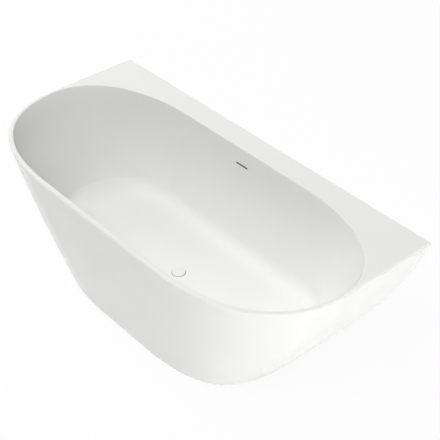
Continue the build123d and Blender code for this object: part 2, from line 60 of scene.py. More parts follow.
# %% [markdown]
# ## Small helpers
# Blender's operators act on whatever is selected, so one helper clears the selection and
# another picks up a single piece. A colour is easiest to think of as the sRGB hex value
# a paint chart would give, but shaders work in linear light, so one function converts it.
# Materials are built from nodes, and one function adds any node with its settings and links.

# %% Helpers for objects, colours and nodes
def deselect():
    """Clear the selection, so that the next operator acts on its own piece alone."""
    bpy.ops.object.select_all(action="DESELECT")


def take(piece):
    """Make a piece the only one selected, and the active one."""
    deselect()
    piece.select_set(True)
    bpy.context.view_layer.objects.active = piece


def linear(hex_colour):
    """An sRGB hex colour as linear red, green, blue and an alpha of 1."""
    channels = [int(hex_colour[i:i + 2], 16) / 255 for i in (1, 3, 5)]
    return [c / 12.92 if c <= 0.04045 else ((c + 0.055) / 1.055) ** 2.4 for c in channels] + [1.0]


def add_node(tree, kind, links=None, **settings):
    """Add a node. settings are its properties; links maps inputs to sockets or values."""
    node = tree.nodes.new(kind)
    for name, value in settings.items():
        setattr(node, name, value)
    for name, value in (links or {}).items():
        if isinstance(value, bpy.types.NodeSocket):
            tree.links.new(value, node.inputs[name])
        else:
            node.inputs[name].default_value = value
    return node


def new_material(name):
    """An empty node material, and its tree."""
    material = bpy.data.materials.new(name)
    material.use_nodes = True
    material.node_tree.nodes.clear()
    return material, material.node_tree


def finish_material(tree, surface):
    """Send a shader to the material's output."""
    add_node(tree, "ShaderNodeOutputMaterial", {"Surface": surface})


# %% [markdown]
# ## Patterns in real millimetres
# Nearly every finish starts from noise or cells read at the object's own coordinates, so
# one helper scales each pattern by a size in millimetres. A factor from 0 to 1 is then spread
# over a range of roughness or mixed between two colours, and a height becomes a bump with a
# real depth.

# %% Pattern helpers
def object_place(tree, stretch=(1, 1, 1)):
    """The object's own coordinates in metres, stretched where a pattern is longer one way."""
    place = add_node(tree, "ShaderNodeTexCoord")
    mapping = add_node(tree, "ShaderNodeMapping", {"Vector": place.outputs["Object"], "Scale": stretch})
    return mapping.outputs["Vector"]


def noise(tree, size_mm, detail=2.0, stretch=(1, 1, 1)):
    """Noise whose patches measure about size_mm on the real object."""
    texture = add_node(tree, "ShaderNodeTexNoise", {
        "Vector": object_place(tree, stretch), "Scale": 1 / (size_mm * MM), "Detail": detail})
    return texture.outputs["Fac"]


def cells(tree, size_mm, output="Distance", stretch=(1, 1, 1)):
    """Cells of about size_mm: the distance from their middles, or a colour for each."""
    texture = add_node(tree, "ShaderNodeTexVoronoi", {
        "Vector": object_place(tree, stretch), "Scale": 1 / (size_mm * MM)})
    return texture.outputs[output]


def between(tree, factor, low, high):
    """Spread a 0 to 1 factor over a range of values."""
    return add_node(tree, "ShaderNodeMapRange", {
        "Value": factor, "To Min": low, "To Max": high}).outputs["Result"]


def sharpened(tree, factor, low, high):
    """Stretch the part of a factor between low and high over 0 to 1, and cut off the rest."""
    return add_node(tree, "ShaderNodeMapRange", {
        "Value": factor, "From Min": low, "From Max": high}).outputs["Result"]


def mixed(tree, factor, first, second):
    """Two colours mixed by a factor, each an sRGB hex value or another colour socket."""
    mix = add_node(tree, "ShaderNodeMix", data_type="RGBA")
    tree.links.new(factor, mix.inputs["Factor"])
    for socket, colour in ((mix.inputs[6], first), (mix.inputs[7], second)):
        if isinstance(colour, str):
            socket.default_value = linear(colour)
        else:
            tree.links.new(colour, socket)
    return mix.outputs[2]


def bump(tree, height, depth_mm, under=None):
    """Turn a height from 0 to 1 into a bump of that real depth, on top of another bump."""
    links = {"Height": height, "Distance": depth_mm * MM}
    if under is not None:
        links["Normal"] = under
    return add_node(tree, "ShaderNodeBump", links).outputs["Normal"]


def principled(name, links):
    """A material made of one Principled shader; links is a function of its tree."""
    material, tree = new_material(name)
    shader = add_node(tree, "ShaderNodeBsdfPrincipled", links(tree))
    finish_material(tree, shader.outputs["BSDF"])
    print("finish", name)
    return material


# %% [markdown]
# ## Sanitary acrylic
# The bath's two white skins are cast acrylic sheet, heated and drawn over a mould. The face
# stays glossy, because it never touches the mould, and keeps a very slight orange peel.
# A plain white would look like paper. Instead two whites a hair apart drift over hands'
# breadths, the roughness wanders a little as polish does, and a ripple a few centimetres
# wide and hundredths of a millimetre deep softens the edges of highlights. Acrylic's own
# index of refraction, 1.49, sets how much it mirrors.

# %% Sanitary acrylic
def sanitary_acrylic(tree):
    """Glossy white sheet with a slow drift of colour and a faint ripple."""
    cloud = noise(tree, 180)
    ripple = noise(tree, 35, detail=1.0)
    polish = noise(tree, 9, detail=4.0)
    return {
        "Base Color": mixed(tree, cloud, "#EFEFEE", "#F2F2F1"),
        "Roughness": between(tree, polish, 0.10, 0.16),
        "IOR": 1.49,
        "Normal": bump(tree, ripple, 0.02)}


acrylic = principled("glossy_white_sanitary_acrylic", sanitary_acrylic)

# %% [markdown]
# ## White enamel
# The waste cap and its flange are turned brass under baked white enamel. Enamel is harder and
# smoother than acrylic, and pools a little, so its ripple is finer and its white a shade
# greyer. A few pinpoint pits, from a sharpened cell pattern, catch the light.

# %% White enamel
def white_enamel(tree):
    """A hard white coat, pooled a little, with a few pinpoint pits."""
    pool = noise(tree, 12)
    pits = sharpened(tree, cells(tree, 5), 0.0, 0.06)
    return {
        "Base Color": mixed(tree, pool, "#ECECEB", "#F1F1F0"),
        "Roughness": between(tree, pool, 0.07, 0.13),
        "IOR": 1.52,
        "Normal": bump(tree, pits, 0.01, bump(tree, pool, 0.01))}


enamel = principled("baked_white_enamel", white_enamel)

# %% [markdown]
# ## Sprayed glass fibre
# Under the acrylic lies a backing of chopped glass strands sprayed with resin. The strands
# lie every way as short pale streaks in a cream resin, with drips and a rough feel. Three
# stretched noises, each along another axis, make the streaks, and a slower one the thick
# and thin places.

# %% Sprayed glass fibre
def sprayed_fibre(tree):
    """Pale strands lying every way in cream resin."""
    along_x = sharpened(tree, noise(tree, 2.2, 1.0, (0.06, 1, 1)), 0.52, 0.66)
    along_y = sharpened(tree, noise(tree, 2.2, 1.0, (1, 0.06, 1)), 0.52, 0.66)
    strands = add_node(tree, "ShaderNodeMath", operation="MAXIMUM")
    tree.links.new(along_x, strands.inputs[0])
    tree.links.new(along_y, strands.inputs[1])
    strands = strands.outputs[0]
    thickness = noise(tree, 60, 3.0)
    resin = mixed(tree, thickness, "#C9BE9C", "#DDD5BB")
    return {
        "Base Color": mixed(tree, strands, resin, "#EEEADB"),
        "Roughness": between(tree, thickness, 0.45, 0.7),
        "Normal": bump(tree, strands, 0.25, bump(tree, thickness, 1.2))}


fibre = principled("sprayed_glass_fibre", sprayed_fibre)

# %% [markdown]
# ## Sealed chipboard
# The baseboard is chipboard soaked in resin. Flattened cells, longer than they are thick,
# give each chip its own brown, and a fine noise gives the grain inside it.

# %% Sealed chipboard
def sealed_chipboard(tree):
    """Flat chips of many browns under a thin seal."""
    chip = add_node(tree, "ShaderNodeSeparateColor", {
        "Color": cells(tree, 6, "Color", (1, 1, 2.5))}).outputs["Red"]
    grain = noise(tree, 1.2, 3.0, (0.3, 1, 1))
    wood = mixed(tree, chip, "#8F6E45", "#C9A877")
    return {
        "Base Color": mixed(tree, sharpened(tree, grain, 0.45, 0.75), wood, "#7A5A36"),
        "Roughness": between(tree, chip, 0.42, 0.62),
        "Normal": bump(tree, chip, 0.15, bump(tree, grain, 0.08))}


chipboard = principled("resin_sealed_chipboard", sealed_chipboard)

# %% [markdown]
# ## Black powder coat
# The frame's square tubes are powder coated. Melted powder leaves an even, fine orange peel
# about a millimetre across, with a soft sheen, and dust settles in a faint grey bloom.

# %% Black powder coat
def powder_coat(tree):
    """Black with a fine orange peel and a bloom of dust."""
    peel = noise(tree, 1.1, 1.0)
    dust = sharpened(tree, noise(tree, 70, 4.0), 0.45, 0.8)
    return {
        "Base Color": mixed(tree, dust, "#1B1B1C", "#2B2A29"),
        "Roughness": between(tree, dust, 0.34, 0.55),
        "Normal": bump(tree, peel, 0.03)}


powder = principled("black_powder_coat", powder_coat)

# %% [markdown]
# ## Zinc plate
# Screws, nuts, studs and brackets are bright zinc plated. The plating is a bluish metal with
# yellowish drifts, and its small crystals make it duller than polished steel.

# %% Zinc plate
def zinc_plate(tree):
    """Bluish metal with yellowish drifts and small crystals."""
    drift = noise(tree, 16, 3.0)
    crystal = cells(tree, 0.8)
    return {
        "Base Color": mixed(tree, drift, "#A9AFB4", "#BDB89F"),
        "Metallic": 1.0,
        "Roughness": between(tree, crystal, 0.28, 0.46),
        "Normal": bump(tree, crystal, 0.008)}


zinc = principled("bright_zinc_plate", zinc_plate)

# %% [markdown]
# ## Drawn spring wire
# The spring is stainless wire pulled through a die, which leaves fine scratches along it.
# The coil lies nearly level, so a noise squeezed in height gives scratches that follow it.

# %% Drawn spring wire
def spring_wire(tree):
    """Stainless steel with fine scratches along the wire."""
    scratches = noise(tree, 2.0, 2.0, (1, 1, 25))
    return {
        "Base Color": mixed(tree, scratches, "#8F8E8A", "#B4B3AE"),
        "Metallic": 1.0,
        "Roughness": between(tree, scratches, 0.2, 0.36),
        "Normal": bump(tree, scratches, 0.004)}


wire = principled("drawn_stainless_wire", spring_wire)

# %% [markdown]
# ## Turned brass
# The plug's cartridge and stem come off a lathe. Its tool leaves rings around the axis, so
# the pattern is a noise squeezed in height, and skin oils have left duller, browner patches.

# %% Turned brass
def turned_brass(tree):
    """Brass with the rings of a lathe tool and duller patches."""
    rings = noise(tree, 4.0, 2.0, (0.1, 0.1, 12))
    tarnish = sharpened(tree, noise(tree, 9, 3.0), 0.4, 0.75)
    return {
        "Base Color": mixed(tree, tarnish, "#C6A35A", "#93703A"),
        "Metallic": 1.0,
        "Roughness": between(tree, tarnish, 0.2, 0.42),
        "Normal": bump(tree, rings, 0.01)}


brass = principled("lathe_turned_brass", turned_brass)

# %% [markdown]
# ## Rubber, black plastic, white polypropylene and hose plastic
# Four moulded finishes share one recipe: two near colours, a roughness range and a grain of
# a given size and depth. The seals are dull rubber with a pale bloom. The foot pads and the
# overflow housing have a leather-like grain from their mould. The waste bowl and the pipe's
# nuts are waxy polypropylene, which lets a little light in, and the hose is a softer,
# greyer kind.

# %% Moulded finishes
def moulded(name, colours, roughness, grain_mm, grain_depth_mm, light_inside=0.0):
    """One of the moulded finishes. light_inside is the share of light that spreads inside."""
    def links(tree):
        """What goes into the shader of this one finish."""
        bloom = noise(tree, 25, 4.0)
        grain = cells(tree, grain_mm)
        return {
            "Base Color": mixed(tree, bloom, *colours),
            "Roughness": between(tree, bloom, *roughness),
            "Subsurface Weight": light_inside,
            "Subsurface Scale": 2 * MM,
            "Normal": bump(tree, grain, grain_depth_mm)}
    return principled(name, links)


rubber = moulded("black_moulded_rubber", ("#171717", "#242322"), (0.6, 0.82), 0.6, 0.02)
# the overflow housing is black plastic partly as painted shade: seen through the slot, it darkens it as
# shade inside would
black_plastic = moulded("grained_black_plastic", ("#191919", "#222221"), (0.42, 0.58), 0.9, 0.04)
polypropylene = moulded("white_polypropylene", ("#DCDCD9", "#E4E4E1"), (0.32, 0.46), 1.4, 0.015, 0.15)
hose_plastic = moulded("pale_grey_hose_plastic", ("#C2C3C3", "#CDCDCC"), (0.38, 0.52), 1.0, 0.02, 0.1)

# %% [markdown]
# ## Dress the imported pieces
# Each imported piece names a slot, and each slot has one of the finishes above. The packed
# pieces keep their own shapes and shading, so dressing one means only that its old material
# goes and the slot's finish comes in its place.

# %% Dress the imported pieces
finishes = {
    "white_acrylic": acrylic, "white_enamel": enamel, "glass_fibre": fibre, "board": chipboard,
    "painted_steel": powder, "zinc_steel": zinc, "spring_steel": wire, "brass": brass,
    "black_rubber": rubber, "black_plastic": black_plastic, "grey_plastic": polypropylene,
    "hose_plastic": hose_plastic,
}
slot_of = {subpart["node"]: subpart["material_slot"] for subpart in frame["record"]["subparts"]}
for name, slot in slot_of.items():
    nodes[name].data.materials.clear()
    nodes[name].data.materials.append(finishes[slot])
print(len(finishes), "finishes on", len(slot_of), "pieces")

# %% [markdown]
# ## Modelling by hand, in code
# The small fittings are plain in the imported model, so the next cells remodel them. Turned
# parts start as a line drawn with one vertex, as on paper: the vertex is extruded from point
# to point along half of the section, and the line is then spun round the axis. Radii
# and heights are in millimetres, as on a drawing. An axis always stands upright, and a part
# that lies down is turned over once it is finished.

# %% Drawing and spinning a section
TOUCHING = 0.005            # points nearer than this, in mm, are one point


def draw_section(points, x=0.0, y=0.0):
    """Draw a line through (radius, height) points in mm, out from the upright axis at x, y."""
    deselect()
    bpy.ops.mesh.primitive_plane_add(size=MM, location=(x, y, 0))
    bpy.ops.object.mode_set(mode="EDIT")
    bpy.ops.mesh.merge(type="CENTER")
    places = [Vector((radius * MM, 0, height * MM)) for radius, height in points]
    bpy.ops.transform.translate(value=places[0])
    for before, after in zip(places, places[1:]):
        bpy.ops.mesh.extrude_region_move(TRANSFORM_OT_translate={"value": after - before})
    bpy.ops.object.mode_set(mode="OBJECT")
    return bpy.context.object


def tidy_mesh(piece):
    """Merge what touches, close small holes and turn every face outwards."""
    take(piece)
    bpy.ops.object.mode_set(mode="EDIT")
    bpy.ops.mesh.select_all(action="SELECT")
    bpy.ops.mesh.remove_doubles(threshold=TOUCHING * MM)
    bpy.ops.mesh.fill_holes(sides=8)
    bpy.ops.mesh.select_all(action="SELECT")
    bpy.ops.mesh.normals_make_consistent(inside=False)
    bpy.ops.object.mode_set(mode="OBJECT")


def turned(points, x=0.0, y=0.0, steps=48, closed=False):
    """Spin a section round its axis. A closed section makes a ring."""
    piece = draw_section(points + points[:1] if closed else points, x, y)
    bpy.ops.object.mode_set(mode="EDIT")
    bpy.ops.mesh.select_all(action="SELECT")
    bpy.ops.mesh.spin(steps=steps, angle=2 * math.pi, center=(x, y, 0), axis=(0, 0, 1))
    bpy.ops.object.mode_set(mode="OBJECT")
    tidy_mesh(piece)
    return piece


# %% [markdown]
# ## Finishing and repeating
# A finished piece has its place in its mesh, with its object at the origin, like the packed
# pieces. It gets smooth shading that stays sharp over real edges, a finish, and the body
# it moves with, and it takes the place of the plain solid. What repeats is modelled once and
# copied, each copy with a mesh of its own. Parts of a mesh are selected by a rule on their
# place or their way of facing, which still holds when a size changes.

# %% Finishing helpers
REAL_EDGE = math.radians(35)    # faces that meet at more than this keep a sharp edge
ONE_PLACE = [Vector()]          # for a piece that stands once


def settle(piece):
    """Apply a piece's place, turn and size to its mesh, and shade it smooth between edges."""
    take(piece)
    bpy.ops.object.transform_apply(location=True, rotation=True, scale=True)
    bpy.ops.object.shade_smooth_by_angle(angle=REAL_EDGE)


def select_only(piece, parts, wanted):
    """Select those of a mesh's vertices, edges or faces that are wanted, and nothing else."""
    for part in [*piece.data.vertices, *piece.data.edges, *piece.data.polygons]:
        part.select = False
    for part in parts:
        part.select = wanted(part)


def joined(*parts):
    """Join parts of one moulding or turning into a single piece."""
    deselect()
    for part in parts:
        part.select_set(True)
    bpy.context.view_layer.objects.active = parts[0]
    bpy.ops.object.join()
    return parts[0]


def moved_copy(piece, step):
    """A copy with its own mesh, moved by a step."""
    take(piece)
    bpy.ops.object.duplicate()
    bpy.ops.transform.translate(value=step)
    return bpy.context.object


def packed_copy(name):
    """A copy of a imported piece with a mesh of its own, whose touching points are merged."""
    copy = nodes[name].copy()
    copy.data = nodes[name].data.copy()
    copy.parent = None
    bpy.context.scene.collection.objects.link(copy)
    tidy_mesh(copy)
    return copy


def island_places(name):
    """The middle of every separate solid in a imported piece, from left to right."""
    packed_copy(name)
    bpy.ops.object.mode_set(mode="EDIT")
    bpy.ops.mesh.separate(type="LOOSE")
    bpy.ops.object.mode_set(mode="OBJECT")
    places = []
    for part in list(bpy.context.selected_objects):
        low, high = (Vector(part.bound_box[corner]) for corner in (0, 6))
        places.append((low + high) / 2)
        bpy.data.objects.remove(part)
    return sorted(places, key=lambda place: (round(place.x, 3), round(place.y, 3)))


def place_copies(piece, steps, label, slot, bodies, node_names):
    """Copy a piece to every step and let each copy stand for its plain solid."""
    copies = [piece] + [moved_copy(piece, step) for step in steps[1:]]
    for number, (copy, body, node) in enumerate(zip(copies, bodies, node_names), 1):
        settle(copy)
        copy.name = copy.data.name = f"{label}_{number}" if len(copies) > 1 else label
        copy.data.materials.clear()
        copy.data.materials.append(finishes[slot])
        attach(copy, body)
        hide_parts(node)
    triangles = sum(len(face.vertices) - 2 for face in piece.data.polygons)
    print(label, len(copies), "pieces of", triangles, "triangles")


# %% [markdown]
# ## Chamfered nuts and screw heads
# A nut's corners are cut by a cone on a lathe, which leaves a curved line across each flat.
# Bevelling the prism's edges wouldn't give that line. A prism and a turned ring with
# cone-shaped ends are made instead, and a Boolean keeps what the two have in common, just as
# the lathe does. The same helper makes nuts, screw heads and the neck of a foot.

# %% Prism and lathe helper
CHAMFER_LEAN = math.radians(30)
FACE_SHARE = 0.96           # the round end face, over the distance across the flats
MARGIN = 0.2                # the ring is this much wider than the prism's corners
OVERHANG = 1.0              # and the prism this much longer at each end than the ring


def chamfered_prism(sides, corner_radius, bore, low, high, x=0.0, y=0.0, top=True, bottom=True):
    """A prism with its corners turned off at the ends, round a bore. Sizes are in mm."""
    face = corner_radius * math.cos(math.pi / sides) * FACE_SHARE
    wide = corner_radius + MARGIN
    drop = (wide - face) * math.tan(CHAMFER_LEAN)
    lower = [(face, low), (wide, low + drop)] if bottom else [(wide, low)]
    upper = [(wide, high - drop), (face, high)] if top else [(wide, high)]
    ring = turned([(bore, low)] + lower + upper + [(bore, high)], x, y, closed=bore > 0)
    deselect()
    bpy.ops.mesh.primitive_cylinder_add(vertices=sides, radius=corner_radius * MM,
                                        depth=(high - low + 2 * OVERHANG) * MM,
                                        location=(x, y, (low + high) / 2 * MM))
    prism = bpy.context.object
    common = ring.modifiers.new("common", "BOOLEAN")
    common.operation = "INTERSECT"
    common.object = prism
    take(ring)
    bpy.ops.object.modifier_apply(modifier="common")
    bpy.data.objects.remove(prism)
    return ring


# %% [markdown]
# ## Threads
# A thread is one tooth carried round a rod while it climbs. The Screw modifier does exactly
# that with a small closed triangle: its offset is the pitch, and its iterations are the
# turns. The tooth's foot is sunk a little into the rod, so no gap shows between them.

# %% Thread helper
SUNK = 0.15                 # how far the tooth's foot lies inside the rod
CREST_FROM, CREST_TO, TOOTH_END = 0.42, 0.54, 0.96      # shares of the pitch


def thread(crest, root, pitch, low, turns, x=0.0, y=0.0, steps=18):
    """A helical ridge from its low end up, for a rod whose radius is the root."""
    foot = root - SUNK
    tooth = draw_section([(foot, low), (crest, low + pitch * CREST_FROM), (crest, low + pitch * CREST_TO),
                          (foot, low + pitch * TOOTH_END), (foot, low)], x, y)
    winding = tooth.modifiers.new("winding", "SCREW")
    winding.screw_offset = pitch * MM
    winding.iterations = turns
    winding.steps = winding.render_steps = steps
    bpy.ops.object.modifier_apply(modifier="winding")
    tidy_mesh(tooth)
    return tooth


# %% [markdown]
# ## Levelling feet
# Each foot is a black plastic pad on an M12 stud. The pad is a low dish with a hexagonal neck
# for a spanner and six thin ribs that stiffen it. The stud screws up through a nut welded
# under the frame, and a thinner nut locks it. Pad and stud slide with the foot's own joint,
# and the two nuts stay with the bath.

# %% Where the feet stand
FEET = [f"foot_{number}" for number in range(1, 6)]
PADS = [f"foot_pad_{number}" for number in range(1, 6)]
STUDS = [f"foot_stud_{number}" for number in range(1, 6)]
pad_boxes = [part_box(pad) for pad in PADS]
foot_places = [(low + high) / 2 for low, high in pad_boxes]
foot_steps = [place - foot_places[0] for place in foot_places]
foot_x, foot_y = foot_places[0].x, foot_places[0].y
print("first foot at", round(foot_x, 3), round(foot_y, 3))

# %% Pads
PAD_RADIUS = (pad_boxes[0][1].x - pad_boxes[0][0].x) / 2 / MM
PAD_TOP = pad_boxes[0][1].z / MM
SOCKET_RADIUS, SOCKET_FLOOR = 6.1, 5.0
NECK_CORNERS = 13.0
RIBS = 6
RIB_LENGTH, RIB_THICKNESS, RIB_HEIGHT, RIB_SLOPE = 12.0, 1.6, 6.6, 6.0
RIB_MIDDLE = (16.5, 8.0)    # its distance from the axis and its height
dish = turned([(0, 0), (PAD_RADIUS - 1.5, 0), (PAD_RADIUS - 0.4, 0.5), (PAD_RADIUS, 1.6), (PAD_RADIUS, 3.4),
               (PAD_RADIUS - 0.5, 4.4), (PAD_RADIUS - 1.8, 4.8), (11.5, 5.6), (SOCKET_RADIUS, 5.6),
               (SOCKET_RADIUS, SOCKET_FLOOR), (0, SOCKET_FLOOR)], foot_x, foot_y)
neck = chamfered_prism(6, NECK_CORNERS, SOCKET_RADIUS, SOCKET_FLOOR, PAD_TOP, foot_x, foot_y, bottom=False)
deselect()
bpy.ops.mesh.primitive_cube_add(size=1, location=(foot_x + RIB_MIDDLE[0] * MM, foot_y, RIB_MIDDLE[1] * MM),
                                scale=(RIB_LENGTH * MM, RIB_THICKNESS * MM, RIB_HEIGHT * MM))
rib = bpy.context.object
bpy.ops.object.transform_apply(location=False, rotation=False, scale=True)
select_only(rib, rib.data.vertices, lambda vertex: vertex.co.x > 0 and vertex.co.z > 0)
bpy.ops.object.mode_set(mode="EDIT")
bpy.ops.transform.translate(value=(0, 0, -RIB_SLOPE * MM))
bpy.ops.mesh.select_all(action="SELECT")
bpy.ops.mesh.spin(steps=RIBS - 1, dupli=True, angle=math.radians(360 / RIBS * (RIBS - 1)),
                  center=(foot_x, foot_y, 0), axis=(0, 0, 1))
bpy.ops.object.mode_set(mode="OBJECT")
place_copies(joined(dish, neck, rib), foot_steps, "levelling_pad", "black_plastic", FEET, PADS)

# %% Studs
stud_low, stud_high = (corner.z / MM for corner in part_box(STUDS[0]))
M12_CREST, M12_ROOT, M12_PITCH = 6.0, 5.05, 1.75
THREAD_START, THREAD_SHORT = 0.6, 3.0       # above the stud's lower end, and less than its length
TIP_CHAMFER = 1.0
rod = turned([(0, stud_low), (M12_ROOT, stud_low), (M12_ROOT, stud_high - TIP_CHAMFER),
              (M12_ROOT - TIP_CHAMFER, stud_high), (0, stud_high)], foot_x, foot_y, steps=36)
turns = int((stud_high - stud_low - THREAD_SHORT) / M12_PITCH)
winding = thread(M12_CREST, M12_ROOT, M12_PITCH, stud_low + THREAD_START, turns, foot_x, foot_y)
print("stud thread of", turns, "turns")
place_copies(joined(rod, winding), foot_steps, "threaded_stud", "zinc_steel", FEET, STUDS)

# %% Weld nuts and lock nuts
NUT_ACROSS_FLATS, NUT_GAP = 19.0, 0.05
NUT_CORNERS = NUT_ACROSS_FLATS / 2 / math.cos(math.pi / 6)
for label, node in (("welded_nut", "weld_nuts"), ("locking_nut", "lock_nuts")):
    low, high = (corner.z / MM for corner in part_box(node))
    nut = chamfered_prism(6, NUT_CORNERS, M12_CREST + NUT_GAP, low, high, foot_x, foot_y)
    place_copies(nut, foot_steps, label, "zinc_steel", ["bath"] * len(FEET), [node] * len(FEET))

# %% [markdown]
# ## Screws
# Six hexagon screws hold the frame to the baseboard, and four more hold the skirt's lip. Each
# has a washer face under a chamfered head. Their threads are out of sight in wood and
# acrylic, so a plain shank with a blunt tip is enough. The frame's screws point up and the
# lip's point down, so one helper builds either by the sign of its direction.

# %% Screw helper
WASHER_FACE, WASHER_SINK, WASHER_SHARE = 0.5, 0.1, 0.84


def hex_screw(shank, tip, face, head, corners, x, y):
    """A screw from its head's far end, over the washer face, to its tip. Heights are in mm."""
    way = 1 if tip > face else -1
    far = face - way * head
    low, high = sorted((far, face - way * WASHER_FACE))
    crown = chamfered_prism(6, corners / 2, 0, low, high, x, y, top=way < 0, bottom=way > 0)
    washer = corners / 2 * WASHER_SHARE
    stem = turned([(0, far + way * head / 2), (washer, face - way * (WASHER_FACE + WASHER_SINK)),
                   (washer, face), (shank, face), (shank, tip - way * shank / 2), (shank / 2, tip),
                   (0, tip)], x, y, steps=24)
    return joined(crown, stem)


def place_screws(node, label, head, shank, corners, points_up):
    """Model a packed group's first screw, and put a copy in the place of each of them."""
    places = island_places(node)
    low, high = (corner.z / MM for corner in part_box(node))
    tip, face = (high, low + head) if points_up else (low, high - head)
    screw = hex_screw(shank, tip, face, head, corners, places[0].x, places[0].y)
    place_copies(screw, [place - places[0] for place in places], label, "zinc_steel",
                 ["bath"] * len(places), [node] * len(places))


# %% Both kinds of screw
place_screws("baseboard_screws", "frame_screw", head=4.0, shank=3.0, corners=11.5, points_up=True)
place_screws("bracket_screws", "lip_screw", head=3.5, shank=2.5, corners=9.2, points_up=False)

# %% [markdown]
# ## Rounded frame tubes
# Cold-formed square tube has rounded corners about as wide as its wall, and powder coat
# shows them as soft bright lines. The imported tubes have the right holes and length, so a
# copy of each is merged, and the four long outer edges of the copy are bevelled.

# %% Tubes
TUBE_ROUND = 2.5
ON_FACE = 0.01              # an edge this near to the tube's box, in mm, lies on its outside


def round_tube(node):
    """Round the four long outer edges of a packed tube's copy, and put it in the tube's place."""
    tube = packed_copy(node)
    points = tube.data.vertices
    low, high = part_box(node)
    along = max(range(3), key=lambda axis: high[axis] - low[axis])
    across = [axis for axis in range(3) if axis != along]

    def is_corner(edge):
        """Whether an edge runs along the tube on one of its outer corners."""
        ends = [points[index].co for index in edge.vertices]
        on_corner = all(min(end[axis] - low[axis], high[axis] - end[axis]) < ON_FACE * MM
                        for end in ends for axis in across)
        return on_corner and abs(ends[0][along] - ends[1][along]) > MM

    select_only(tube, tube.data.edges, is_corner)
    print(node, "has", sum(edge.select for edge in tube.data.edges), "rounded edges")
    bpy.ops.object.mode_set(mode="EDIT")
    bpy.ops.mesh.select_mode(type="EDGE")
    bpy.ops.mesh.bevel(offset=TUBE_ROUND * MM, segments=4, affect="EDGES")
    bpy.ops.mesh.select_mode(type="VERT")
    bpy.ops.object.mode_set(mode="OBJECT")
    place_copies(tube, ONE_PLACE, node + "_rounded", "painted_steel", ["bath"], [node])


for node in ("frame_rail_front", "frame_rail_rear", "frame_cross_left", "frame_cross_right",
             "frame_cross_middle"):
    round_tube(node)

# %% [markdown]
# ## Plug cap
# The cap is a turned brass disc under enamel. Its face is a very shallow dome that sheds
# water, and its edge is rolled over so that a bare foot never meets a corner. A parabola
# gives the dome and a quarter circle the edge, both as points of one section.

# %% Cap
cap_low, cap_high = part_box("waste_cap")
cap_middle = (cap_low + cap_high) / 2
CAP_RADIUS = (cap_high.x - cap_low.x) / 2 / MM
CAP_CROWN, CAP_EDGE, DOME_RINGS = 1.2, 0.9, 12
edge_top = cap_high.z / MM - CAP_CROWN
edge_middle = CAP_RADIUS - CAP_EDGE
shares = [ring / DOME_RINGS for ring in range(DOME_RINGS) if CAP_RADIUS * ring / DOME_RINGS < edge_middle]
dome = [(CAP_RADIUS * share, edge_top + CAP_CROWN * (1 - share ** 2)) for share in shares]
turns_down = [math.radians(angle) for angle in range(0, 91, 15)]
roll = [(edge_middle + CAP_EDGE * math.sin(angle), edge_top - CAP_EDGE + CAP_EDGE * math.cos(angle))
        for angle in turns_down]
under = [(CAP_RADIUS, cap_low.z / MM), (0, cap_low.z / MM)]
cap = turned(dome + roll + under, cap_middle.x, cap_middle.y, steps=96)
place_copies(cap, ONE_PLACE, "plug_cap", "white_enamel", ["plug"], ["waste_cap"])

# %% [markdown]
# ## Waste bowl
# Under the floor a moulded bowl takes the water from the flange and from the overflow. It is
# turned here from one section, with small rounds where a mould has them, and its outlet gets
# the coarse thread that a trap's union nut grips. The inlet for the overflow is
# turned upright like everything else and then laid on its side.

# %% Bowl
bowl_low, bowl_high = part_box("waste_body")
bowl_x, bowl_y = 0.0, cap_middle.y
top, bottom = bowl_high.z / MM, bowl_low.z / MM
THROAT, THROAT_DEPTH = 21.1, 43.0
BOWL_FLANGE, BOWL_RADIUS, BOWL_WALL = 33.0, 29.0, 4.0
OUTLET_CREST, OUTLET_ROOT, OUTLET_BORE, OUTLET_LENGTH = 23.9, 22.4, 20.0, 20.0
shoulder = bottom + OUTLET_LENGTH
bowl = turned([
    (THROAT, top), (BOWL_FLANGE - 0.6, top), (BOWL_FLANGE, top - 0.6), (BOWL_FLANGE, top - 3.4),
    (BOWL_FLANGE - 0.6, top - 4.0), (BOWL_RADIUS + 1.2, top - 5.2), (BOWL_RADIUS + 0.3, top - 6.2),
    (BOWL_RADIUS, top - 8.0), (BOWL_RADIUS, shoulder + 7.0), (BOWL_RADIUS - 1.0, shoulder + 3.6),
    (OUTLET_CREST, shoulder), (OUTLET_ROOT, shoulder - 1.0), (OUTLET_ROOT, bottom + 0.6),
    (OUTLET_ROOT - 0.6, bottom), (OUTLET_BORE, bottom), (OUTLET_BORE, shoulder + BOWL_WALL),
    (BOWL_RADIUS - BOWL_WALL, shoulder + 10.0),
    (BOWL_RADIUS - BOWL_WALL, top - THROAT_DEPTH - BOWL_WALL),
    (THROAT, top - THROAT_DEPTH)], bowl_x, bowl_y, steps=72, closed=True)

# %% Outlet thread
OUTLET_PITCH = 2.31         # 11 turns to the inch
OUTLET_TURNS, OUTLET_START = 7, 0.8
outlet_thread = thread(OUTLET_CREST, OUTLET_ROOT, OUTLET_PITCH, bottom + OUTLET_START, OUTLET_TURNS,
                       bowl_x, bowl_y, steps=60)

